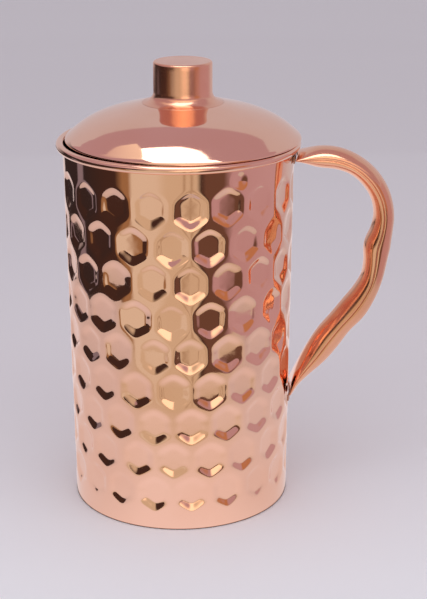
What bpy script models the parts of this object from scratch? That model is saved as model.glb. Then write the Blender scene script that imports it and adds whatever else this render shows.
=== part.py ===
"""Hammered copper water jug with a loose lid, modelled piece by piece.

Run with: blender --background --python part.py
Lengths are written in millimetres and scaled to metres as each mesh is made.
The jug's axis is world Z, its base rests on z = 0, and the handle is on +X.
"""
import math

import bmesh
import bpy
from mathutils import Vector

MM = 0.001
GAP = 0.3                      # air left between pieces that touch in the real jug
SHEET = 0.7                    # thickness of the copper sheet
TURN_STEPS = 48                # facets round a turned piece

# Body: a slightly tapered wall whose top edge is curled outwards round a wire.
BASE_RADIUS = 52.4
TOP_RADIUS = 54.4
RIM_TOP = 177.3
CURL_RADIUS = 1.9              # outside of the curled edge
CURL_CENTRE_Z = RIM_TOP - CURL_RADIUS
CURL_CENTRE_R = TOP_RADIUS + CURL_RADIUS - SHEET
CURL_START = 180.0             # degrees round the curl, where it leaves the wall
CURL_END = -110.0              # degrees round the curl, where the sheet stops
CURL_FACETS = 9
WIRE_RADIUS = 0.8

# Dimples: rows of pressed hollows, each row shifted half a dimple from the next.
DIMPLES_PER_RING = 19
DIMPLE_ROWS = 9
FIRST_ROW_Z = 18.1
ROW_PITCH = 17.3
DIMPLE_DEPTH = 1.5
DIMPLE_PHASE = math.radians(8.2 - 90.0)

# Base: a shallow pan let into the foot of the wall.
PAN_SLACK = 0.2                # the pan's extra clearance, so that it slips into the wall
PAN_RADIUS = BASE_RADIUS - SHEET - GAP - PAN_SLACK
PAN_HEIGHT = 7.0
PAN_CORNER = 1.5
PAN_BEAD_WIDTH = 1.2
PAN_BEAD_HEIGHT = 1.8
PAN_BEAD_OVERHANG = 0.1        # how far the bead reaches past the pan, towards the wall

# Lid: it lies a little off the jug's axis, because its collar is a loose fit.
LID_SHIFT = 2.2
LID_EDGE_Z = RIM_TOP + GAP
LID_HOLE_RADIUS = 2.3
DOME_FACE = (                  # radius, height above the lid's edge
    (55.4, 0.0), (55.2, 0.7), (53.4, 2.4), (48.5, 6.4), (39.5, 11.1),
    (27.5, 14.6), (18.5, 17.0), (12.0, 18.3), (LID_HOLE_RADIUS, 18.7),
)
DOME_TOP_Z = LID_EDGE_Z + DOME_FACE[-1][1]
COLLAR_RADIUS = 50.9
COLLAR_FLANGE = 54.2
COLLAR_DEPTH = 14.0
COLLAR_CORNER = 0.6
COLLAR_LEAD_IN = 1.0           # chamfer at the collar's lower edge
COLLAR_BEAD_WIDTH = 1.8
COLLAR_BEAD_HEIGHT = 0.8

# Knob: a hollow cylinder with a flared foot, clamped by a screw from below.
KNOB_RADIUS = 13.8
KNOB_TOP_Z = 213.7
KNOB_EDGE = 1.0                # bevel round the knob's top
FLARE_TOP_Z = 200.2
FLARE_BENDS = ((14.3, 198.4), (15.7, 196.9))
FLARE_FOOT = (18.2, 195.8)
PLATE_RADIUS = 12.6
PLATE_THICKNESS = 1.2
SCREW_RADIUS = 1.9
SCREW_HOLE = SCREW_RADIUS + GAP
SCREW_HEAD_RADIUS = 3.8
SCREW_HEAD_HEIGHT = 2.2
SCREW_HEAD_CHAMFER = 1.0
SCREW_TIP_PROUD = 0.8          # thread left standing above the nut
NUT_FLATS = 7.0
NUT_SIDES = 6
NUT_HEIGHT = 3.2
WASHER_RADIUS = 5.0
WASHER_THICKNESS = 1.0

# Handle: two pressed half shells; each station is x, z, half depth, half width.
HANDLE_STATIONS = (
    (55.9, 169.2, 1.3, 11.5),  # pinched end under the rim
    (60.4, 169.1, 3.3, 10.1),
    (65.0, 168.9, 4.7, 9.2),
    (74.6, 168.1, 5.0, 8.9),
    (83.2, 164.7, 4.7, 8.9),
    (90.5, 158.3, 4.8, 8.9),
    (95.3, 150.1, 4.8, 8.9),
    (97.1, 140.6, 5.0, 8.9),
    (96.1, 132.6, 5.5, 8.9),
    (94.4, 126.0, 6.5, 8.9),   # first finger ridge
    (93.7, 118.1, 5.7, 8.9),
    (92.3, 109.9, 5.4, 8.9),
    (88.2, 100.7, 6.1, 8.9),
    (84.1, 94.4, 6.7, 8.9),    # second finger ridge
    (77.8, 86.9, 6.2, 8.9),
    (72.0, 79.2, 6.6, 8.9),
    (66.5, 71.3, 6.0, 9.2),
    (60.8, 63.7, 4.1, 10.2),
    (57.2, 58.1, 2.4, 11.2),
    (54.7, 52.5, 1.1, 12.0),   # pinched end against the wall
)
HANDLE_STEPS = 2               # sections from one station to the next
HALF_FACETS = 7                # facets round half a section
SEAM_HALF_GAP = 0.2

# Braze: a strip of filler at each end of the handle, wrapped round the wall.
BRAZE_FACETS = 6
UPPER_BRAZE = {"z": 169.2, "width": 20.0, "height": 3.2, "thickness": 0.6}
LOWER_BRAZE = {"z": 50.3, "width": 20.0, "height": 2.6, "thickness": 0.8}

COPPER = ("polished_copper", (0.86, 0.45, 0.32), 0.08)
SOLDER = ("solder", (0.72, 0.68, 0.62), 0.35)
WIRE_METAL = ("copper_wire", (0.72, 0.38, 0.26), 0.30)
STEEL = ("fastener_steel", (0.62, 0.62, 0.63), 0.30)


def clear_scene():
    for old in list(bpy.data.objects):
        bpy.data.objects.remove(old, do_unlink=True)


def metal(name, colour, roughness):
    """A metallic Principled material, made once per name."""
    made = bpy.data.materials.get(name) or bpy.data.materials.new(name)
    made.use_nodes = True
    made.diffuse_color = (*colour, 1.0)
    shader = made.node_tree.nodes["Principled BSDF"]
    shader.inputs["Base Color"].default_value = (*colour, 1.0)
    shader.inputs["Roughness"].default_value = roughness
    shader.inputs["Metallic"].default_value = 1.0
    return made


def add_object(name, mesh, look, parent):
    """Put a mesh, built in its parent's axes, into the jug's collection."""
    made = bpy.data.objects.new(name, mesh)
    made.data.materials.append(metal(*look))
    made.parent = parent
    bpy.data.collections["copper_water_jug"].objects.link(made)
    return made


def add_parent(name, location):
    """An empty on a moving piece's joint axis."""
    made = bpy.data.objects.new(name, None)
    made.location = location
    bpy.data.collections["copper_water_jug"].objects.link(made)
    return made


def arc(centre, radius, start, end, facets):
    """Points of a circular arc, its angles in degrees from +X."""
    points = []
    for step in range(facets + 1):
        angle = math.radians(start + (end - start) * step / facets)
        points.append((centre[0] + radius * math.cos(angle), centre[1] + radius * math.sin(angle)))
    return points


def smooth(points, steps):
    """A Catmull-Rom curve through points of any dimension."""
    first = [2 * a - b for a, b in zip(points[0], points[1])]
    last = [2 * a - b for a, b in zip(points[-1], points[-2])]
    padded = [first, *points, last]
    curve = []
    for p0, p1, p2, p3 in zip(padded, padded[1:], padded[2:], padded[3:]):
        for step in range(steps):
            t = step / steps
            curve.append(tuple(
                0.5 * (2 * b + (c - a) * t + (2 * a - 5 * b + 4 * c - d) * t * t
                       + (3 * b - a - 3 * c + d) * t ** 3)
                for a, b, c, d in zip(p0, p1, p2, p3)))
    curve.append(tuple(points[-1]))
    return curve


def offset_path(path, distance):
    """The path moved to its right by a distance, corners mitred."""
    moved = []
    for here, point in enumerate(path):
        before = Vector(path[max(here - 1, 0)])
        after = Vector(path[min(here + 1, len(path) - 1)])
        middle = Vector(point)
        arrive = (middle - before).normalized() if here > 0 else (after - middle).normalized()
        leave = (after - middle).normalized() if here < len(path) - 1 else arrive
        right = Vector((arrive.y + leave.y, -arrive.x - leave.x)).normalized()
        stretch = right.dot(Vector((arrive.y, -arrive.x)))
        moved.append(tuple(middle + right * (distance / stretch)))
    return moved


def turned(name, outline, look, parent=None, closed=True):
    """A solid of revolution; an open outline starts and ends on the axis."""
    area = sum(a[0] * b[1] - b[0] * a[1] for a, b in zip(outline, outline[1:] + outline[:1]))
    points = list(reversed(outline)) if area > 0 else list(outline)
    if not closed and points[0][0] > 0:
        raise ValueError(f"{name}: an open outline has to start on the axis")
    edges = [(n, n + 1) for n in range(len(points) - 1)]
    if closed:
        edges.append((len(points) - 1, 0))
    mesh = bpy.data.meshes.new(name)
    mesh.from_pydata([(r * MM, 0.0, z * MM) for r, z in points], edges, [])
    made = add_object(name, mesh, look, parent)
    screw = made.modifiers.new("turn", "SCREW")
    screw.steps = TURN_STEPS
    screw.render_steps = TURN_STEPS
    screw.use_merge_vertices = True
    screw.merge_threshold = 0.00001
    return made


def sheet_turned(name, face, look, parent=None):
    """A turned sheet: one face's path, with the sheet on that path's right."""
    return turned(name, face + offset_path(face, SHEET)[::-1], look, parent)


def drilled_disc(name, radius, hole, bottom, thickness, look, parent):
    top = bottom + thickness
    return turned(name, [(hole, bottom), (hole, top), (radius, top), (radius, bottom)], look, parent)


def bridged(name, rings, look, parent=None):
    """A solid skinned over rings of equal length, with a flat cap at each end."""
    work = bmesh.new()
    loops = [[work.verts.new(Vector(point) * MM) for point in ring] for ring in rings]
    count = len(loops[0])
    for low, high in zip(loops, loops[1:]):
        for n in range(count):
            work.faces.new((low[n], low[(n + 1) % count], high[(n + 1) % count], high[n]))
    half = count // 2
    for loop in (loops[0], loops[-1]):
        for n in range(half - 1):
            work.faces.new((loop[n], loop[n + 1], loop[count - 2 - n], loop[count - 1 - n]))
    bmesh.ops.recalc_face_normals(work, faces=work.faces)
    mesh = bpy.data.meshes.new(name)
    work.to_mesh(mesh)
    work.free()
    return add_object(name, mesh, look, parent)


def wall_radius(z):
    """Outer radius of the undimpled wall at a height."""
    return BASE_RADIUS + (TOP_RADIUS - BASE_RADIUS) * z / CURL_CENTRE_Z


def body_wall():
    """The dimpled wall: its outer face as a grid, thickened inwards."""
    columns = 2 * DIMPLES_PER_RING
    face = [(wall_radius(0.0), 0.0)]
    lowest = FIRST_ROW_Z - ROW_PITCH / 2
    for level in range(2 * DIMPLE_ROWS + 1):
        z = lowest + level * ROW_PITCH / 2
        face.append((wall_radius(z), z))
    face += arc((CURL_CENTRE_R, CURL_CENTRE_Z), CURL_RADIUS - SHEET, CURL_START, CURL_END, CURL_FACETS)
    work = bmesh.new()
    grid = []
    for level, (radius, z) in enumerate(face):
        row_number, between_rows = divmod(level - 2, 2)
        has_dimples = 0 <= row_number < DIMPLE_ROWS and not between_rows
        ring = []
        for column in range(columns):
            pressed = has_dimples and (column + row_number) % 2 == 0
            reach = radius - DIMPLE_DEPTH if pressed else radius
            angle = DIMPLE_PHASE + math.tau * column / columns
            ring.append(work.verts.new((
                reach * math.cos(angle) * MM, reach * math.sin(angle) * MM, z * MM)))
        grid.append(ring)
    for low, high in zip(grid, grid[1:]):
        for n in range(columns):
            work.faces.new((low[n], low[(n + 1) % columns], high[(n + 1) % columns], high[n]))
    mesh = bpy.data.meshes.new("body_wall")
    work.to_mesh(mesh)
    work.free()
    made = add_object("body_wall", mesh, COPPER, None)
    thicken = made.modifiers.new("sheet", "SOLIDIFY")
    thicken.thickness = SHEET * MM
    thicken.offset = -1.0
    thicken.use_even_offset = True
    return made


def rim_wire():
    """The stiffening wire inside the curled edge."""
    section = arc((CURL_CENTRE_R, CURL_CENTRE_Z), WIRE_RADIUS, 0.0, 360.0, 8)[:-1]
    return turned("rim_wire", section, WIRE_METAL)


def base_pan():
    """The flat base with its flange standing up inside the wall."""
    corner = arc((PAN_RADIUS - PAN_CORNER, PAN_CORNER), PAN_CORNER, -90.0, 0.0, 3)
    inner_corner = arc((PAN_RADIUS - PAN_CORNER, PAN_CORNER), PAN_CORNER - SHEET, 0.0, -90.0, 3)
    outline = [(0.0, 0.0), *corner, (PAN_RADIUS, PAN_HEIGHT),
               (PAN_RADIUS - SHEET, PAN_HEIGHT), *inner_corner, (0.0, SHEET)]
    return turned("base_pan", outline, COPPER, closed=False)


def base_solder_bead():
    """The fillet that seals the pan's flange to the wall."""
    outer = PAN_RADIUS + PAN_BEAD_OVERHANG
    bottom = PAN_HEIGHT + GAP
    outline = [(outer - PAN_BEAD_WIDTH, bottom), (outer, bottom + PAN_BEAD_HEIGHT), (outer, bottom)]
    return turned("base_solder_bead", outline, SOLDER)


def handle_half(name, side):
    """One pressed half of the hollow handle; side is +1 outside, -1 at the grip."""
    stations = smooth(HANDLE_STATIONS, HANDLE_STEPS)
    rings = []
    for here, (x, z, depth, width) in enumerate(stations):
        before = stations[max(here - 1, 0)]
        after = stations[min(here + 1, len(stations) - 1)]
        along = Vector((after[0] - before[0], after[1] - before[1])).normalized()
        outward = Vector((-along.y, along.x))
        ring = []
        for shrink, order in ((0.0, 1), (SHEET, -1)):
            a = depth - shrink
            b = width - shrink
            seam = math.asin(SEAM_HALF_GAP / a)
            facets = range(HALF_FACETS + 1)[::order]
            for facet in facets:
                angle = seam + (math.pi - 2 * seam) * facet / HALF_FACETS
                reach = side * a * math.sin(angle)
                ring.append((x + outward.x * reach, b * math.cos(angle), z + outward.y * reach))
        rings.append(ring)
    return bridged(name, rings, COPPER)


def braze_strip(name, z, width, height, thickness):
    """A strip of filler that follows the wall's curve."""
    rings = []
    for facet in range(BRAZE_FACETS + 1):
        ring = []
        angle = (facet / BRAZE_FACETS - 0.5) * width / wall_radius(z)
        for lift, level in ((0.0, -0.5), (thickness, -0.5), (thickness, 0.5), (0.0, 0.5)):
            height_here = z + level * height
            reach = wall_radius(height_here) + GAP + lift
            ring.append((reach * math.cos(angle), reach * math.sin(angle), height_here))
        rings.append(ring)
    return bridged(name, rings, SOLDER)


def lid_dome(lid):
    """The spun dome, open at its edge, with a hole for the knob's screw."""
    curve = smooth(DOME_FACE, 2)
    face = [(r, LID_EDGE_Z + height) for r, height in curve]
    return turned("lid_dome", face + offset_path(face, -SHEET)[::-1], COPPER, lid)


def lid_collar(lid):
    """The ring under the lid that drops into the jug's mouth."""
    bottom = LID_EDGE_Z - COLLAR_DEPTH
    corner = arc((COLLAR_RADIUS + COLLAR_CORNER, LID_EDGE_Z - COLLAR_CORNER), COLLAR_CORNER, 90.0, 180.0, 3)
    face = [(COLLAR_FLANGE, LID_EDGE_Z), *corner, (COLLAR_RADIUS, bottom + COLLAR_LEAD_IN),
            (COLLAR_RADIUS - COLLAR_LEAD_IN, bottom)]
    return sheet_turned("lid_collar", face, COPPER, lid)


def collar_solder_bead(lid):
    """The fillet that holds the collar's flange inside the dome's edge."""
    bottom = LID_EDGE_Z + SHEET + GAP
    outer = COLLAR_FLANGE - GAP
    outline = [(outer - COLLAR_BEAD_WIDTH, bottom),
               (outer - COLLAR_BEAD_WIDTH / 2, bottom + COLLAR_BEAD_HEIGHT), (outer, bottom)]
    return turned("collar_solder_bead", outline, SOLDER, lid)


def knob_shell(lid):
    """The hollow knob: flat top, straight side and flared foot."""
    face = [(0.0, KNOB_TOP_Z), (KNOB_RADIUS - KNOB_EDGE, KNOB_TOP_Z),
            (KNOB_RADIUS, KNOB_TOP_Z - KNOB_EDGE), (KNOB_RADIUS, FLARE_TOP_Z), *FLARE_BENDS, FLARE_FOOT]
    inside = offset_path(face, SHEET)
    inside[0] = (0.0, KNOB_TOP_Z - SHEET)
    return turned("knob_shell", face + inside[::-1], COPPER, lid, closed=False)


def knob_fixings(lid):
    """Plate, nut, washer and screw that clamp the knob to the dome."""
    plate_z = DOME_TOP_Z + GAP
    drilled_disc("knob_plate", PLATE_RADIUS, SCREW_HOLE, plate_z, PLATE_THICKNESS, COPPER, lid)

    nut_z = plate_z + PLATE_THICKNESS + GAP
    nut_corner = NUT_FLATS / 2 / math.cos(math.pi / NUT_SIDES)
    section = ((SCREW_HOLE, nut_z), (nut_corner, nut_z),
               (nut_corner, nut_z + NUT_HEIGHT), (SCREW_HOLE, nut_z + NUT_HEIGHT))
    rings = []
    for side in range(NUT_SIDES):
        angle = math.tau * side / NUT_SIDES
        rings.append([(reach * math.cos(angle), reach * math.sin(angle), z) for reach, z in section])
    ring_solid("knob_nut", rings, STEEL, lid)

    washer_z = DOME_TOP_Z - SHEET - GAP - WASHER_THICKNESS
    drilled_disc("screw_washer", WASHER_RADIUS, SCREW_HOLE, washer_z, WASHER_THICKNESS, STEEL, lid)

    head_top = washer_z - GAP
    head_face = head_top - SCREW_HEAD_HEIGHT
    tip = nut_z + NUT_HEIGHT + SCREW_TIP_PROUD
    outline = [(0.0, tip), (SCREW_RADIUS, tip), (SCREW_RADIUS, head_top), (SCREW_HEAD_RADIUS, head_top),
               (SCREW_HEAD_RADIUS, head_face + SCREW_HEAD_CHAMFER),
               (SCREW_HEAD_RADIUS - SCREW_HEAD_CHAMFER, head_face), (0.0, head_face)]
    turned("knob_screw", outline, STEEL, lid, closed=False)


def ring_solid(name, sections, look, parent):
    """A closed ring skinned through sections that go once round it."""
    work = bmesh.new()
    loops = [[work.verts.new(Vector(point) * MM) for point in section] for section in sections]
    count = len(loops[0])
    for here, after in zip(loops, loops[1:] + loops[:1]):
        for n in range(count):
            work.faces.new((here[n], here[(n + 1) % count], after[(n + 1) % count], after[n]))
    bmesh.ops.recalc_face_normals(work, faces=work.faces)
    mesh = bpy.data.meshes.new(name)
    work.to_mesh(mesh)
    work.free()
    return add_object(name, mesh, look, parent)


def main():
    clear_scene()
    jug = bpy.data.collections.new("copper_water_jug")
    bpy.context.scene.collection.children.link(jug)

    body_wall()
    rim_wire()
    base_pan()
    base_solder_bead()
    handle_half("handle_outer_shell", 1)
    handle_half("handle_inner_shell", -1)
    braze_strip("handle_upper_braze", **UPPER_BRAZE)
    braze_strip("handle_lower_braze", **LOWER_BRAZE)

    lid = add_parent("lid_axis", (LID_SHIFT * MM, 0.0, 0.0))
    lid_dome(lid)
    lid_collar(lid)
    collar_solder_bead(lid)
    knob_shell(lid)
    knob_fixings(lid)


main()
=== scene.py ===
"""The copper water jug's finished look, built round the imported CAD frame.

Lengths are in metres unless a name ends in _MM; +Z is up and the handle is on +X.
Azimuths are measured from the front (-Y) towards the handle.
"""
import math

import bpy
import numpy as np
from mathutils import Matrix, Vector


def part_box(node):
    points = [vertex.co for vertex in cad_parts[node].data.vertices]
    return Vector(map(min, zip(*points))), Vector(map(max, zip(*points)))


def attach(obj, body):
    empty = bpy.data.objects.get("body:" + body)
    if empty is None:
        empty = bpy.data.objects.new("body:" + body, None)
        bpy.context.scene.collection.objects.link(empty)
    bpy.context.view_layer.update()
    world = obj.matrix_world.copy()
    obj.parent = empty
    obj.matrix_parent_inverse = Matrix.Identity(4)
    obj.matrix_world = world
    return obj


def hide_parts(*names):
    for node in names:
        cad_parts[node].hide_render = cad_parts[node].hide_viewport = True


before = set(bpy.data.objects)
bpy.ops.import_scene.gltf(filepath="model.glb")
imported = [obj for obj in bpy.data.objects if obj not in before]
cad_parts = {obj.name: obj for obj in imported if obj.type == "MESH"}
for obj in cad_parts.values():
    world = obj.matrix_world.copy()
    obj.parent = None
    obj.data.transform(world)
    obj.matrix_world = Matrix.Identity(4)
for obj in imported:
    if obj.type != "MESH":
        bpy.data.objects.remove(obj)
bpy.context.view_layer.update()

MM = 0.001
SHEET = 0.7 * MM
ON_AXIS = 1e-7                       # a smaller radius counts as being on the axis

# Camera: the photographer stood a little round towards the handle.
VIEW_AZIMUTH = math.radians(3.0)
CAMERA_DISTANCE = 0.7348
CAMERA_HEIGHT = 0.3467
CAMERA_YAW = math.radians(1.292)
CAMERA_PITCH = math.radians(18.755)
CAMERA_ROLL = math.radians(0.071)
CAMERA_LENS_MM = 96.2
SENSOR_MM = 36.0

# Jug body: the outside of the wall, and the rim curled outwards round its wire.
RIM_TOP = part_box("body_wall")[1].z
BASE_RADIUS = 52.4 * MM
TOP_RADIUS = 54.4 * MM
CURL_RADIUS = 1.9 * MM
CURL_CENTRE_Z = RIM_TOP - CURL_RADIUS
CURL_CENTRE_R = TOP_RADIUS + CURL_RADIUS - SHEET
CURL_START = 180.0                   # degrees round the curl: where the wall runs into it
CURL_END = -110.0                    # and where the sheet's edge stops
CURL_INNER_STEPS = 15
CURL_OUTER_STEPS = 39
PLAIN_BAND = 6.0 * MM                # finely divided band under the curl
PLAIN_BAND_RINGS = 8
FOOT_ROUND = 0.5 * MM                # rolled corner where the wall meets the table
FOOT_STEPS = 5
FOOT_EDGE_Z = 0.1 * MM               # the sheet's inner edge, just off the table

# Dimples: hexagons pressed inwards with a flat-ended punch.
DIMPLES_PER_RING = 19
DIMPLE_ROWS = 9
FIRST_ROW_Z = 18.1 * MM
ROW_PITCH = 17.3 * MM
RING_PITCH = math.tau / DIMPLES_PER_RING
DIMPLE_PHASE = math.radians(8.2)
DIMPLE_DEPTH = 1.12 * MM
FLOOR_BOWL = 0.14 * MM               # extra depth at the middle of a dimple's dished floor
FLOOR_LEAN = math.radians(1.2)       # the punch struck a little from above
HANDLE_SIDE_COLUMN = 2               # the column struck slightly towards the handle
HANDLE_SIDE_LEAN = math.radians(4.0)
# Each slope runs from the floor's edge to the ridge, as shares of the way to the cell's
# border, and each crease is rounded over a third share.
LOWER_SLOPE = (0.56, 0.93, 0.08)
UPPER_SLOPE = (0.66, 0.95, 0.14)
UPPER_FROM = 0.55                    # share of the half width where the upper slope takes over
CORNER_SHARPNESS = 12.0              # how square the hexagon's corners are in its lower half
UPPER_SOFTENING = 5.0                # and how much rounder they are in its upper half
FLATTENING = 0.8                     # share of the wall's own roundness that the punch flattens
# No two strikes are the same: the spread of each dimple's place, tilt and depth.
STRIKE_SEED = 11
SPREAD_ROUND = 0.018                 # share of the pitch round the jug
SPREAD_UP = 0.015                    # share of the pitch between rows
SPREAD_TILT_ROUND = math.radians(1.8)
SPREAD_TILT_UP = math.radians(1.3)
SPREAD_DEPTH = 0.08                  # share of the depth
# A small knock in the plain band under the rim.
KNOCK_AZIMUTH = math.radians(33.0)
KNOCK_Z = 168.6 * MM
KNOCK_RADIUS = 5.2 * MM
KNOCK_DEPTH = 0.9 * MM
COLUMNS_PER_DIMPLE = 26
ROWS_PER_DIMPLE = 26
FAR = 9.0                            # further than anything that is compared with it


# ---------------------------------------------------------------- meshes

def mesh_object(name, points, faces, material):
    """A smooth-shaded object from points and faces, given as arrays or lists."""
    mesh = bpy.data.meshes.new(name)
    mesh.from_pydata(np.asarray(points).tolist(), [], np.asarray(faces).tolist()
                     if isinstance(faces, np.ndarray) else faces)
    mesh.validate()
    mesh.polygons.foreach_set("use_smooth", [True] * len(mesh.polygons))
    mesh.materials.append(material)
    made = bpy.data.objects.new(name, mesh)
    bpy.context.scene.collection.objects.link(made)
    return made


def grid_faces(rows, columns, close_rows=False):
    """Quads of a grid whose columns run right round."""
    last = rows if close_rows else rows - 1
    r = np.arange(last)[:, None]
    c = np.arange(columns)[None, :]
    up = (r + 1) % rows
    right = (c + 1) % columns
    corners = (r * columns + c, r * columns + right, up * columns + right, up * columns + c)
    return np.stack(np.broadcast_arrays(*corners), -1).reshape(-1, 4)


def arc(centre, radius, start, end, steps):
    """Points along a circle, from one angle to another in degrees."""
    turns = np.radians(np.linspace(start, end, steps + 1))
    return np.stack([centre[0] + radius * np.cos(turns), centre[1] + radius * np.sin(turns)], -1)


def smooth(points, steps, passes):
    """A curve through points of any dimension, then averaged with its neighbours in passes."""
    given = np.asarray(points, float)
    chords = np.linalg.norm(np.diff(given[:, :2], axis=0), axis=1)[:, None]
    rates = np.diff(given, axis=0) / chords
    middle = (rates[:-1] * chords[1:] + rates[1:] * chords[:-1]) / (chords[:-1] + chords[1:])
    tangents = np.vstack([rates[:1], middle, rates[-1:]])
    curve = []
    for here, chord in enumerate(chords[:, 0]):
        for t in np.arange(steps) / steps:
            curve.append((2 * t ** 3 - 3 * t ** 2 + 1) * given[here]
                         + (t ** 3 - 2 * t ** 2 + t) * chord * tangents[here]
                         + (3 * t ** 2 - 2 * t ** 3) * given[here + 1]
                         + (t ** 3 - t ** 2) * chord * tangents[here + 1])
    curve.append(given[-1])
    curve = np.array(curve)
    for _ in range(passes):
        curve[1:-1] = 0.25 * curve[:-2] + 0.5 * curve[1:-1] + 0.25 * curve[2:]
    return curve


def offset_path(path, distance):
    """The path moved to its right by a distance."""
    path = np.asarray(path, float)
    along = np.gradient(path, axis=0)
    along /= np.linalg.norm(along, axis=1)[:, None]
    return path + distance * np.stack([along[:, 1], -along[:, 0]], -1)


def turned_piece(name, outline, material, body, segments, closed=True):
    """Revolves an outline of (radius, height) points round the lid's own axis.

    A point on that axis becomes a single point, and closed joins the outline's two ends.
    """
    angles = np.arange(segments) / segments * math.tau
    points = []
    rings = []
    for r, z in outline:
        if r < ON_AXIS:
            rings.append([len(points)] * segments)
            points.append((LID_X, 0.0, z))
        else:
            rings.append(list(range(len(points), len(points) + segments)))
            xs = LID_X + r * np.sin(angles)
            ys = -r * np.cos(angles)
            points.extend((x, y, z) for x, y in zip(xs.tolist(), ys.tolist()))
    pairs = list(zip(rings, rings[1:]))
    if closed:
        pairs.append((rings[-1], rings[0]))
    faces = []
    for low, high in pairs:
        for n in range(segments):
            corners = (low[n], low[(n + 1) % segments], high[(n + 1) % segments], high[n])
            face = list(dict.fromkeys(corners))
            if len(face) > 2:
                faces.append(face)
    made = mesh_object(name, points, faces, material)
    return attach(made, body)


# ---------------------------------------------------------------- materials

def new_material(name, colour, roughness, metallic=1.0):
    """A material with one colour and roughness all over."""
    made = bpy.data.materials.new(name)
    made.use_nodes = True
    shader = made.node_tree.nodes["Principled BSDF"]
    shader.inputs["Base Color"].default_value = (*colour, 1.0)
    shader.inputs["Roughness"].default_value = roughness
    shader.inputs["Metallic"].default_value = metallic
    return made


def noise(material, coordinates, scale, detail, stretch=(1.0, 1.0, 1.0)):
    """A noise texture over the object's own coordinates, stretched along each axis."""
    nodes, links = material.node_tree.nodes, material.node_tree.links
    mapping = nodes.new("ShaderNodeMapping")
    mapping.inputs["Scale"].default_value = stretch
    links.new(coordinates, mapping.inputs["Vector"])
    made = nodes.new("ShaderNodeTexNoise")
    made.inputs["Scale"].default_value = scale
    made.inputs["Detail"].default_value = detail
    links.new(mapping.outputs["Vector"], made.inputs["Vector"])
    return made.outputs["Fac"]


def ramp(material, value, low, high, out_low, out_high):
    """Maps a value's range onto another, held at both ends."""
    nodes, links = material.node_tree.nodes, material.node_tree.links
    made = nodes.new("ShaderNodeMapRange")
    made.inputs["From Min"].default_value = low
    made.inputs["From Max"].default_value = high
    made.inputs["To Min"].default_value = out_low
    made.inputs["To Max"].default_value = out_high
    links.new(value, made.inputs["Value"])
    return made.outputs["Result"]


def add_share(material, base, extra, share):
    """The base value plus a share of an extra one."""
    nodes, links = material.node_tree.nodes, material.node_tree.links
    made = nodes.new("ShaderNodeMath")
    made.operation = "MULTIPLY_ADD"
    made.inputs[1].default_value = share
    links.new(extra, made.inputs[0])
    links.new(base, made.inputs[2])
    return made.outputs["Value"]


def blend_colours(material, value, first, second):
    """Runs from the first colour to the second as the value goes from 0 to 1."""
    nodes, links = material.node_tree.nodes, material.node_tree.links
    made = nodes.new("ShaderNodeMix")
    made.data_type = "RGBA"
    made.inputs["A"].default_value = (*first, 1.0)
    made.inputs["B"].default_value = (*second, 1.0)
    links.new(value, made.inputs["Factor"])
    links.new(made.outputs["Result"], nodes["Principled BSDF"].inputs["Base Color"])


CLOUD_SCALE = 28.0                   # clouds of tarnish a few centimetres wide
SPECK_SCALE = 620.0                  # specks of a millimetre or two
LINE_SCALE = 90.0                    # polishing lines, which run round the jug
LINE_STRETCH = (1.0, 1.0, 14.0)
SPECK_SHARE = 0.35                   # how much the specks add to the clouds
LINE_SHARE = 0.06                    # how much the lines add to the ripple


def worn_metal(name, clean, dull, smooth_roughness, rough_roughness, ripple):
    """Bare metal: patchy polish, cloudy colour and a faint hand-worked ripple."""
    made = new_material(name, clean, smooth_roughness)
    nodes, links = made.node_tree.nodes, made.node_tree.links
    shader = nodes["Principled BSDF"]
    where = nodes.new("ShaderNodeTexCoord").outputs["Object"]

    clouds = noise(made, where, CLOUD_SCALE, 4.0)
    specks = noise(made, where, SPECK_SCALE, 2.0)
    polish_lines = noise(made, where, LINE_SCALE, 3.0, LINE_STRETCH)

    blend_colours(made, ramp(made, clouds, 0.42, 0.75, 0.0, 1.0), clean, dull)

    wear = add_share(made, clouds, specks, SPECK_SHARE)
    rough = ramp(made, wear, 0.5, 0.95, smooth_roughness, rough_roughness)
    links.new(rough, shader.inputs["Roughness"])

    relief = add_share(made, clouds, polish_lines, LINE_SHARE)
    bump = nodes.new("ShaderNodeBump")
    bump.inputs["Strength"].default_value = 1.0
    bump.inputs["Distance"].default_value = ripple
    links.new(relief, bump.inputs["Height"])
    links.new(bump.outputs["Normal"], shader.inputs["Normal"])
    return made


# Each metal: clean and dull colour, lowest and highest roughness, height of the ripple.
copper = worn_metal("polished_copper", (0.955, 0.60, 0.455), (0.93, 0.56, 0.41), 0.05, 0.11, 0.05 * MM)
handle_copper = worn_metal("handle_copper", (0.93, 0.51, 0.34), (0.87, 0.42, 0.25), 0.13, 0.22, 0.20 * MM)
knob_copper = worn_metal("knob_copper", (0.92, 0.53, 0.38), (0.84, 0.43, 0.29), 0.18, 0.28, 0.15 * MM)
inner_copper = worn_metal("inner_copper", (0.90, 0.52, 0.38), (0.78, 0.40, 0.27), 0.16, 0.34, 0.08 * MM)
wire_copper = worn_metal("copper_wire", (0.80, 0.42, 0.28), (0.60, 0.28, 0.18), 0.25, 0.45, 0.05 * MM)
braze = worn_metal("braze_filler", (0.46, 0.22, 0.15), (0.28, 0.12, 0.09), 0.25, 0.45, 0.12 * MM)
solder = worn_metal("tin_solder", (0.74, 0.70, 0.64), (0.52, 0.48, 0.43), 0.28, 0.5, 0.12 * MM)
steel = worn_metal("fastener_steel", (0.66, 0.66, 0.67), (0.50, 0.49, 0.48), 0.22, 0.45, 0.03 * MM)


# ---------------------------------------------------------------- jug wall

def wall_radius(z):
    """The outside of the undimpled wall, which widens evenly from the foot to the curl."""
    return BASE_RADIUS + (TOP_RADIUS - BASE_RADIUS) * z / CURL_CENTRE_Z


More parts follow.
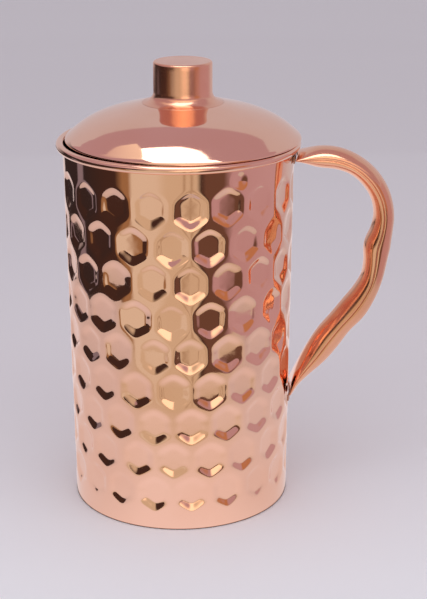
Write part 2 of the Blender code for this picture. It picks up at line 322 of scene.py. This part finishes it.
def smoothstep(low, high, value):
    """Rises smoothly from 0 at low to 1 at high."""
    t = np.clip((value - low) / (high - low), 0.0, 1.0)
    return t * t * (3.0 - 2.0 * t)


def punched_profile(start, end, blend):
    """Depth share against reach: flat, then a slope between start and end."""
    reach = np.linspace(0.0, 1.0, 400)
    slope = smoothstep(start - blend, start + blend, reach)
    slope *= 1.0 - smoothstep(end - blend, end + blend, reach)
    climbed = np.cumsum(slope)
    return reach, 1.0 - climbed / climbed[-1]


def dimple_depth(angle, z):
    """How far the wall is pressed in at arrays of azimuth and height."""
    reaches, lower_share = punched_profile(*LOWER_SLOPE)
    upper_share = punched_profile(*UPPER_SLOPE)[1]
    rng = np.random.default_rng(STRIKE_SEED)
    shape = (DIMPLE_ROWS, DIMPLES_PER_RING)
    shift_round = rng.normal(0.0, SPREAD_ROUND, shape) * RING_PITCH
    shift_up = rng.normal(0.0, SPREAD_UP, shape) * ROW_PITCH
    tilt_round = rng.normal(0.0, SPREAD_TILT_ROUND, shape)
    tilt_round[1::2, HANDLE_SIDE_COLUMN] += HANDLE_SIDE_LEAN
    tilt_up = rng.normal(0.0, SPREAD_TILT_UP, shape)
    depth_share = rng.normal(1.0, SPREAD_DEPTH, shape)

    best = np.full(angle.shape, FAR)
    depth = np.zeros(angle.shape)
    nearest = np.round((z - FIRST_ROW_Z) / ROW_PITCH).astype(int)
    radius = wall_radius(z)
    half = 0.5 * RING_PITCH * radius
    for row_step in (-1, 0, 1):
        row = np.clip(nearest + row_step, 0, DIMPLE_ROWS - 1)
        stagger = (row % 2) * 0.5
        place = (angle - DIMPLE_PHASE) / RING_PITCH - stagger
        column = np.round(place).astype(int)
        for column_step in (-1, 0, 1):
            home = column + column_step
            key = (row, home % DIMPLES_PER_RING)
            centre = DIMPLE_PHASE + (home + stagger) * RING_PITCH + shift_round[key]
            along = (angle - centre) * radius
            up = z - (FIRST_ROW_Z + row * ROW_PITCH + shift_up[key])
            side = np.abs(along) / half
            rising = np.abs(0.5 * along + math.sqrt(0.75) * up) / half
            falling = np.abs(0.5 * along - math.sqrt(0.75) * up) / half
            above = smoothstep(0.0, UPPER_FROM, up / half)
            power = CORNER_SHARPNESS - UPPER_SOFTENING * above
            reach = (side ** power + rising ** power + falling ** power) ** (1.0 / power)
            share = ((1.0 - above) * np.interp(reach, reaches, lower_share)
                     + above * np.interp(reach, reaches, upper_share))
            flat = radius * (1.0 / np.cos(along / radius) - 1.0)
            bowl = FLOOR_BOWL * np.clip(1.0 - (reach / LOWER_SLOPE[0]) ** 2, -1.0, 1.0)
            pressed = share * (DIMPLE_DEPTH * depth_share[key] + bowl - FLATTENING * flat
                               + tilt_round[key] * along + (tilt_up[key] - FLOOR_LEAN) * up)
            nearer = reach < best
            best = np.where(nearer, reach, best)
            depth = np.where(nearer, pressed, depth)
    from_knock = np.hypot((angle - KNOCK_AZIMUTH) * radius, z - KNOCK_Z) / KNOCK_RADIUS
    return depth + KNOCK_DEPTH * np.clip(1.0 - from_knock ** 2, 0.0, 1.0) ** 2


def jug_wall():
    """The dimpled sheet: outer face, curled rim, inner face and foot as one skin."""
    columns = DIMPLES_PER_RING * COLUMNS_PER_DIMPLE
    step = ROW_PITCH / ROWS_PER_DIMPLE
    band_low = CURL_CENTRE_Z - PLAIN_BAND
    outer_z = np.concatenate([np.arange(FOOT_ROUND, band_low, step),
                              np.linspace(band_low, CURL_CENTRE_Z, PLAIN_BAND_RINGS + 1)[:-1]])
    angles = np.arange(columns) / columns * math.tau

    def plain_ring(r, z):
        return np.full(columns, r), np.full(columns, z)

    def add_arc(centre, radius, start, end, steps):
        rings.extend(plain_ring(r, z) for r, z in arc(centre, radius, start, end, steps))

    rings = []
    add_arc((BASE_RADIUS - FOOT_ROUND, FOOT_ROUND), FOOT_ROUND, -90.0, -10.0, FOOT_STEPS)
    for z in outer_z:
        level = np.full(columns, z)
        rings.append((wall_radius(z) - dimple_depth(angles, level), level))
    curl_centre = (CURL_CENTRE_R, CURL_CENTRE_Z)
    add_arc(curl_centre, CURL_RADIUS - SHEET, CURL_START, CURL_END, CURL_INNER_STEPS)
    add_arc(curl_centre, CURL_RADIUS, CURL_END, CURL_START, CURL_OUTER_STEPS)
    for z in outer_z[::-2]:
        level = np.full(columns, z)
        rings.append((wall_radius(z) - SHEET - dimple_depth(angles, level), level))
    rings.append(plain_ring(BASE_RADIUS - SHEET, FOOT_EDGE_Z))

    radii = np.array([r for r, _ in rings])
    levels = np.array([z for _, z in rings])
    points = np.stack([radii * np.sin(angles), -radii * np.cos(angles), levels], -1).reshape(-1, 3)
    made = mesh_object("jug_wall", points, grid_faces(len(rings), columns, close_rows=True), copper)
    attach(made, "jug")
    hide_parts("body_wall")


# ---------------------------------------------------------------- lid

DOME_LOW, DOME_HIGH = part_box("lid_dome")
LID_X = (DOME_LOW.x + DOME_HIGH.x) / 2
LID_EDGE_Z = DOME_LOW.z
LID_RADIUS = (DOME_HIGH.x - DOME_LOW.x) / 2
DOME_FACE_MM = (                     # inwards from the lid's edge, above the lid's edge
    (0.0, 0.0), (0.05, 0.45), (0.7, 1.35), (2.0, 2.5), (4.1, 4.25), (6.9, 6.4), (11.0, 8.9),
    (15.9, 11.1), (21.6, 13.0), (27.9, 14.6), (36.9, 17.0), (43.4, 18.3), (53.1, 18.7),
)
KNOB_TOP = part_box("knob_shell")[1].z
KNOB_TOP_RADII_MM = (0.0, 5.0, 9.0, 11.5)
KNOB_RADIUS = 13.8 * MM
KNOB_EDGE = 1.1 * MM                 # rounding of the knob's top edge
FLARE_REACH = 19.2 * MM              # where the knob's flared foot melts into the dome
FLARE_RISE = 5.2 * MM                # how far up the knob the flare starts, above that foot


def dome_face():
    """The dome's upper face as (radius, height) points, from its edge to the middle."""
    face = [(LID_RADIUS - inset * MM, LID_EDGE_Z + rise * MM) for inset, rise in DOME_FACE_MM]
    return smooth(face, 10, passes=14)


def lid_dome():
    """The spun sheet of the lid."""
    face = dome_face()
    outline = np.vstack([face, offset_path(face, -SHEET)[::-1]])
    made = turned_piece("lid_dome_spun", outline, copper, "lid", segments=256)
    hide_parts("lid_dome")


def knob():
    """The turned knob, its foot flaring until it lies along the dome."""
    face = dome_face()
    inward = face[::-1]
    foot_z = np.interp(FLARE_REACH, inward[:, 0], inward[:, 1])
    past = FLARE_REACH + 1.0 * MM
    past_z = np.interp(past, inward[:, 0], inward[:, 1])
    slope = (past_z - foot_z) / (past - FLARE_REACH)
    start = np.array([KNOB_RADIUS, foot_z + FLARE_RISE])
    corner = np.array([KNOB_RADIUS, foot_z + slope * (KNOB_RADIUS - FLARE_REACH)])
    end = np.array([FLARE_REACH, foot_z])
    t = np.linspace(0.0, 1.0, 25)[:, None]
    flare = (1 - t) ** 2 * start + 2 * t * (1 - t) * corner + t ** 2 * end

    top = [(radius * MM, KNOB_TOP) for radius in KNOB_TOP_RADII_MM]
    rounding = arc((KNOB_RADIUS - KNOB_EDGE, KNOB_TOP - KNOB_EDGE), KNOB_EDGE, 90, 0, 8)
    side = [(KNOB_RADIUS, z) for z in np.linspace(KNOB_TOP - 3 * MM, start[1] + 1 * MM, 5)]
    outside = np.vstack([top, rounding, side, flare])
    inside = offset_path(outside, SHEET)
    inside[0] = (0.0, KNOB_TOP - SHEET)
    inside[-1] = (FLARE_REACH - 0.1 * MM, foot_z - 0.05 * MM)
    outline = np.vstack([outside, inside[::-1]])
    made = turned_piece("knob_turned", outline, knob_copper, "lid", segments=160, closed=False)
    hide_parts("knob_shell")


# ---------------------------------------------------------------- handle

GRIP_HALF_WIDTH = 8.9                # in millimetres; the handle widens to its flattened ends
HANDLE_STATIONS_MM = (               # x, z, half depth, half width, from the rim downwards
    (55.9, 169.2, 1.3, 11.5), (60.4, 169.1, 3.3, 10.1), (65.0, 168.9, 4.7, 9.2),
    (74.6, 168.1, 5.0, GRIP_HALF_WIDTH), (83.2, 164.7, 4.7, GRIP_HALF_WIDTH),
    (90.5, 158.3, 4.8, GRIP_HALF_WIDTH), (95.3, 150.1, 4.8, GRIP_HALF_WIDTH),
    (97.1, 140.6, 5.0, GRIP_HALF_WIDTH), (96.1, 132.6, 5.5, GRIP_HALF_WIDTH),
    (94.4, 126.0, 6.5, GRIP_HALF_WIDTH), (93.7, 118.1, 5.7, GRIP_HALF_WIDTH),
    (92.3, 109.9, 5.4, GRIP_HALF_WIDTH), (88.2, 100.7, 6.1, GRIP_HALF_WIDTH),
    (84.1, 94.4, 6.7, GRIP_HALF_WIDTH), (77.8, 86.9, 6.2, GRIP_HALF_WIDTH),
    (72.0, 79.2, 6.6, GRIP_HALF_WIDTH),
    (66.5, 71.3, 6.0, 9.2), (60.8, 63.7, 4.1, 10.2), (57.2, 58.1, 2.4, 11.2), (54.7, 52.5, 1.1, 12.0),
)
END_WRAP = 14.0 * MM                 # distance from the wall over which the ends bend round it
SEAM_SPAN = math.radians(9.0)        # how much of the section the seam's rolled edge takes
SEAM_DEPTH = 0.35 * MM
SEAM_STEPS = 5
SECTION_STEPS = 23


def handle_half(name, side, node):
    """One pressed half: side is 1 for the outside and -1 for the grip."""
    stations = smooth(HANDLE_STATIONS_MM, 10, passes=6) * MM
    along = np.gradient(stations[:, :2], axis=0)
    along /= np.linalg.norm(along, axis=1)[:, None]
    outward = np.stack([-along[:, 1], along[:, 0]], -1)
    near_seam = np.linspace(0.0, SEAM_SPAN, SEAM_STEPS + 1)
    between = np.linspace(SEAM_SPAN, math.pi - SEAM_SPAN, SECTION_STEPS + 1)[1:-1]
    turns = np.concatenate([near_seam, between, math.pi - near_seam[::-1]])
    edge = 1.0 - np.minimum(turns, math.pi - turns) / SEAM_SPAN
    groove = SEAM_DEPTH * np.clip(edge, 0.0, 1.0) ** 2
    wrap = 1.0 - smoothstep(0.0, END_WRAP, stations[:, 0] - TOP_RADIUS)
    points = []
    for (x, z, depth, width), (ox, oz), wrapped in zip(stations, outward, wrap):
        for shrink, order in ((0.0, 1), (SHEET, -1)):
            for turn, cut in zip(turns[::order], groove[::order]):
                reach = side * (depth - shrink) * math.sin(turn)
                across = (width - shrink - (cut if shrink == 0.0 else 0.0)) * math.cos(turn)
                sag = wrapped * (TOP_RADIUS - math.sqrt(TOP_RADIUS ** 2 - across ** 2))
                points.append((x + ox * reach - sag, across, z + oz * reach))
    count = 2 * len(turns)
    faces = grid_faces(len(stations), count)
    if side > 0:
        faces = faces[:, ::-1]
    faces = faces.tolist()
    last = (len(stations) - 1) * count
    for base, flip in ((0, side > 0), (last, side < 0)):
        for n in range(len(turns) - 1):
            quad = [base + n, base + n + 1, base + count - 2 - n, base + count - 1 - n]
            faces.append(quad[::-1] if flip else quad)
    made = mesh_object(name, points, faces, handle_copper)
    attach(made, "jug")
    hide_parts(node)


# ---------------------------------------------------------------- studio

ROOM_RADIUS = 1.35
ROOM_FLOOR = -1.1
WALL_SPLIT = -0.05                   # the room's lower card ends and its upper one starts here
WALL_TOP = 0.55
BACKDROP_TOP = 1.75
CEILING_Z = 1.40
WINDOW_Z = 1.35
LAMP_Z = 1.13

# The mirrored table: its edges from the jug's axis, and its colours outwards from the jug, painted bright
# by the jug and darker towards its edges as the light on it falls off.
TABLE_FRONT = -0.195
TABLE_LEFT = -0.335
TABLE_RIGHT = 0.26
TABLE_BACK = 0.70
TABLE_SEGMENTS = 128
TABLE_SHARES = (0.0, 0.2, 0.4, 0.6, 0.8, 0.9, 1.0)
SIDE_SHADE = 0.15                    # how much darker the table is at the jug's sides
STRAIGHT_ALONG = 1e-6                # a heading this small never reaches that pair of edges
UNDER_JUG = BASE_RADIUS + 1.0 * MM
CONTACT_SHADE = (0.10, 0.06, 0.05)
TABLE_NEAR_PAINTED_LIGHT = (0.90, 0.83, 0.86)
TABLE_EDGE = (0.68, 0.64, 0.67)
TABLE_FRONT_EDGE = (0.62, 0.55, 0.41)

# The paper that the camera sees, with painted light: lighter at the front and darker further back, as the
# light falls off.
PAPER_NEAR_PAINTED_LIGHT = (0.87, 0.89, 0.92)
PAPER_FAR_PAINTED_DIM = (0.81, 0.80, 0.83)
PAPER_GRAIN = 900.0
PAPER_HALF_WIDTH = 6.0
SOFTBOX_COLOUR = (0.98, 1.0, 1.07)
SOFTBOX_CENTRE = Vector((0.0, -0.25, 0.50))
SOFTBOX_AIM = Vector((0.0, -0.25, 0.0))
SOFTBOX_SIZE = (0.7, 0.35)
SOFTBOX_RADIANCE = 1.1

# Colours of the room that the copper mirrors.
GOLD = (0.64, 0.57, 0.43)
PALE_GOLD = (0.71, 0.67, 0.56)
BRONZE = (0.42, 0.33, 0.22)
WARM_BROWN = (0.33, 0.20, 0.10)
UMBER = (0.055, 0.030, 0.024)
RUSSET = (0.145, 0.080, 0.057)
NEAR_BLACK = (0.034, 0.026, 0.027)
MAUVE = (0.50, 0.345, 0.40)
ROSE = (0.53, 0.38, 0.44)
SLIT = (0.24, 0.22, 0.28)
PAPER = (0.59, 0.55, 0.59)
CEILING = (0.48, 0.345, 0.41)
CREAM = (1.5, 1.25, 0.95)
LAMP = (3.0, 2.95, 2.85)
LAMP_SPILL = (0.98, 0.85, 0.72)
ORANGE = (0.50, 0.25, 0.13)

# The room, as (azimuth from the camera in degrees, colour), from left to right.
ROOM_IN_FRONT = (
    (-165, PAPER), (-163, NEAR_BLACK), (-118, NEAR_BLACK), (-116, SLIT), (-108, SLIT),
    (-106, NEAR_BLACK), (-74, UMBER), (-64, UMBER), (-56, WARM_BROWN), (-50, WARM_BROWN),
    (-46, PALE_GOLD), (-22, PALE_GOLD), (-12, GOLD), (3, GOLD), (5, BRONZE), (7, GOLD), (10, GOLD),
    (12, BRONZE), (14, GOLD), (17, GOLD), (21, UMBER), (26, RUSSET), (44, RUSSET), (54, MAUVE),
    (96, ROSE), (120, ROSE), (135, PAPER),
)
ROOM_AT_EYE_LEVEL = (
    (-150, PAPER), (-128, NEAR_BLACK), (-64, UMBER), (-38, UMBER), (-26, GOLD), (-10, GOLD),
    (0, CREAM), (18, CREAM), (28, MAUVE), (38, MAUVE), (48, ORANGE), (60, ORANGE), (70, ROSE),
    (120, ROSE), (140, PAPER),
)
BACKDROP = ((120, PAPER), (196, PAPER))
# Cards overhead, as (x, y) corners.
CEILING_CORNERS = ((-3.5, -4.5), (3.5, -4.5), (3.5, 0.44), (-1.2, 1.36), (-3.5, 4.2))
LAMP_CORNERS = ((-0.38, -0.47), (0.55, -0.47), (0.30, -0.13), (-0.02, 0.10), (-0.38, 0.12))
SPILL_CORNERS = ((-1.05, 0.10), (-0.38, -0.05), (-0.38, 0.30), (-1.05, 0.42))
WINDOW_X = (-2.0, 0.0, 2.0)
WINDOW_Y = (-1.75, -0.76)


def card_material(name):
    """A glow whose colour is painted on the card's points."""
    made = bpy.data.materials.new(name)
    made.use_nodes = True
    nodes = made.node_tree.nodes
    nodes.clear()
    paint = nodes.new("ShaderNodeVertexColor")
    paint.layer_name = "paint"
    glow = nodes.new("ShaderNodeEmission")
    glow.inputs["Strength"].default_value = 1.0
    out = nodes.new("ShaderNodeOutputMaterial")
    made.node_tree.links.new(paint.outputs["Color"], glow.inputs["Color"])
    made.node_tree.links.new(glow.outputs[0], out.inputs[0])
    return made


def painted_card(name, points, faces, colours):
    """A stage card seen only in reflections."""
    made = mesh_object(name, points, faces, card_material(name))
    paint = made.data.color_attributes.new("paint", "FLOAT_COLOR", "POINT")
    rgba = np.concatenate([np.asarray(colours, float), np.ones((len(colours), 1))], 1)
    paint.data.foreach_set("color", rgba.ravel())
    made.rotation_euler.z = VIEW_AZIMUTH
    made.visible_camera = False
    made.visible_diffuse = False
    made.visible_shadow = False


def wall_card(name, stops, low, high):
    """A curved card round the jug, a point every degree; stops are (azimuth, colour)."""
    degrees = np.arange(stops[0][0], stops[-1][0] + 1)
    keys = [azimuth for azimuth, _ in stops]
    channels = np.array([colour for _, colour in stops]).T
    painted = np.stack([np.interp(degrees, keys, channel) for channel in channels], -1)
    turns = np.radians(degrees)
    count = len(turns)
    points = [(ROOM_RADIUS * math.sin(t), -ROOM_RADIUS * math.cos(t), z)
              for z in (low, high) for t in turns]
    faces = [(n, n + 1, count + n + 1, count + n) for n in range(count - 1)]
    painted_card(name, points, faces, np.vstack([painted, painted]))


def flat_card(name, corners, height, colours):
    """A level card overhead, from its corners as (x, y) and a colour for each."""
    points = [(x, y, height) for x, y in corners]
    painted_card(name, points, [tuple(range(len(points)))], colours)


def reflected_table():
    """The table as the jug mirrors it, with nothing lit underneath the jug."""
    angles = np.arange(TABLE_SEGMENTS) / TABLE_SEGMENTS * math.tau
    direction = np.stack([np.sin(angles), -np.cos(angles)], -1)
    reach = np.full(TABLE_SEGMENTS, FAR)
    for heading, near, far in ((direction[:, 0], TABLE_LEFT, TABLE_RIGHT),
                               (direction[:, 1], TABLE_FRONT, TABLE_BACK)):
        limit = np.where(heading < 0.0, near, far)
        straight = np.abs(heading) < STRAIGHT_ALONG
        safe = np.where(straight, STRAIGHT_ALONG, heading)
        reach = np.minimum(reach, np.where(straight, FAR, limit / safe))
    side_shade = 1.0 - SIDE_SHADE * smoothstep(0.3, 1.0, np.abs(direction[:, 0]))
    facing_front = smoothstep(0.3, 0.8, -direction[:, 1])[:, None]
    edge = np.array(TABLE_EDGE) * (1.0 - facing_front) + np.array(TABLE_FRONT_EDGE) * facing_front
    points, colours = [], []
    for radius in (BASE_RADIUS - FOOT_ROUND, BASE_RADIUS + 0.2 * MM):
        points.extend((radius * d[0], radius * d[1], 0.0) for d in direction)
        colours.extend([CONTACT_SHADE] * TABLE_SEGMENTS)
    for share in TABLE_SHARES:
        radii = UNDER_JUG + (reach - UNDER_JUG) * share
        points.extend((r * d[0], r * d[1], 0.0) for r, d in zip(radii, direction))
        # Painted light: the table fades from bright by the jug to the darker edge colours.
        fade = share ** 1.5
        colours.extend((np.array(TABLE_NEAR_PAINTED_LIGHT) * (1.0 - fade) + edge * fade) * side_shade[:, None])
    faces = grid_faces(len(TABLE_SHARES) + 2, TABLE_SEGMENTS)
    painted_card("reflected_table", points, faces, colours)


def overhead_softbox():
    """An area light that lights the paper but is left out of reflections."""
    light = bpy.data.lights.new("overhead_softbox", "AREA")
    light.shape = "RECTANGLE"
    light.size, light.size_y = SOFTBOX_SIZE
    light.energy = SOFTBOX_RADIANCE * math.pi * SOFTBOX_SIZE[0] * SOFTBOX_SIZE[1]
    light.color = SOFTBOX_COLOUR
    made = bpy.data.objects.new("overhead_softbox", light)
    made.location = SOFTBOX_CENTRE
    made.rotation_euler = (SOFTBOX_AIM - SOFTBOX_CENTRE).to_track_quat("-Z", "Y").to_euler()
    made.visible_glossy = False
    bpy.context.scene.collection.objects.link(made)


def paper_floor():
    """The pale sweep the jug stands on, painted lighter at the front and darker behind to stand in for
    the light's falloff.
    """
    paper = new_material("pale_paper_painted_falloff", PAPER_NEAR_PAINTED_LIGHT, 0.7, metallic=0.0)
    nodes, links = paper.node_tree.nodes, paper.node_tree.links
    where = nodes.new("ShaderNodeTexCoord").outputs["Object"]
    depth = nodes.new("ShaderNodeSeparateXYZ")
    links.new(where, depth.inputs["Vector"])
    # Painted light: the paper's colour runs from lighter in front to darker behind.
    blend_colours(paper, ramp(paper, depth.outputs["Y"], -0.10, 0.15, 0.0, 1.0), PAPER_NEAR_PAINTED_LIGHT, PAPER_FAR_PAINTED_DIM)
    grain = noise(paper, where, PAPER_GRAIN, 3.0)
    links.new(ramp(paper, grain, 0.3, 0.7, 0.65, 0.8), nodes["Principled BSDF"].inputs["Roughness"])
    half = PAPER_HALF_WIDTH
    corners = [(-half, -half, 0.0), (half, -half, 0.0), (half, half, 0.0), (-half, half, 0.0)]
    floor = mesh_object("paper_floor", corners, [(0, 1, 2, 3)], paper)
    floor.location.z = -0.1 * MM
    floor.rotation_euler.z = VIEW_AZIMUTH
    floor.visible_glossy = False


def studio():
    """The pale backdrop, the paper and table, and the room that the copper mirrors."""
    world = bpy.data.worlds.new("studio")
    bpy.context.scene.world = world
    world.use_nodes = True
    world.node_tree.nodes["Background"].inputs["Color"].default_value = (*PAPER, 1.0)
    paper_floor()
    reflected_table()

    wall_card("room_in_front", ROOM_IN_FRONT, ROOM_FLOOR, WALL_SPLIT)
    wall_card("room_at_eye_level", ROOM_AT_EYE_LEVEL, WALL_SPLIT, WALL_TOP)
    wall_card("backdrop", BACKDROP, ROOM_FLOOR, BACKDROP_TOP)
    flat_card("ceiling", CEILING_CORNERS, CEILING_Z, [CEILING] * 5)
    window = [(x, y, WINDOW_Z) for y in WINDOW_Y for x in WINDOW_X]
    painted_card("window_in_front", window, [(0, 1, 4, 3), (1, 2, 5, 4)], [ROSE, CREAM, ROSE] * 2)
    flat_card("lamp", LAMP_CORNERS, LAMP_Z, [LAMP] * 5)
    flat_card("lamp_spill", SPILL_CORNERS, LAMP_Z, [CEILING, LAMP_SPILL, LAMP_SPILL, CEILING])
    overhead_softbox()


def camera():
    """The camera, a little above the lid and looking down at the jug."""
    data = bpy.data.cameras.new("camera")
    data.lens = CAMERA_LENS_MM
    data.sensor_width = SENSOR_MM
    made = bpy.data.objects.new("camera", data)
    x = CAMERA_DISTANCE * math.sin(VIEW_AZIMUTH)
    y = -CAMERA_DISTANCE * math.cos(VIEW_AZIMUTH)
    made.location = (x, y, CAMERA_HEIGHT)
    made.rotation_euler = (math.pi / 2 - CAMERA_PITCH, CAMERA_ROLL, VIEW_AZIMUTH - CAMERA_YAW)
    bpy.context.scene.collection.objects.link(made)
    bpy.context.scene.camera = made


def dress(node, material):
    """Gives a carried-over CAD piece its finished material."""
    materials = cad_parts[node].data.materials
    materials.clear()
    materials.append(material)


jug_wall()
lid_dome()
knob()
handle_half("handle_outer_half", 1, "handle_outer_shell")
handle_half("handle_grip_half", -1, "handle_inner_shell")
DRESSED = (
    (wire_copper, ("rim_wire",)),
    (inner_copper, ("base_pan", "lid_collar", "knob_plate")),
    (braze, ("handle_upper_braze", "handle_lower_braze")),
    (solder, ("base_solder_bead", "collar_solder_bead")),
    (steel, ("knob_nut", "knob_screw", "screw_washer")),
)
for material, nodes in DRESSED:
    for node in nodes:
        dress(node, material)
studio()
camera()
bpy.context.scene.view_settings.view_transform = "Standard"
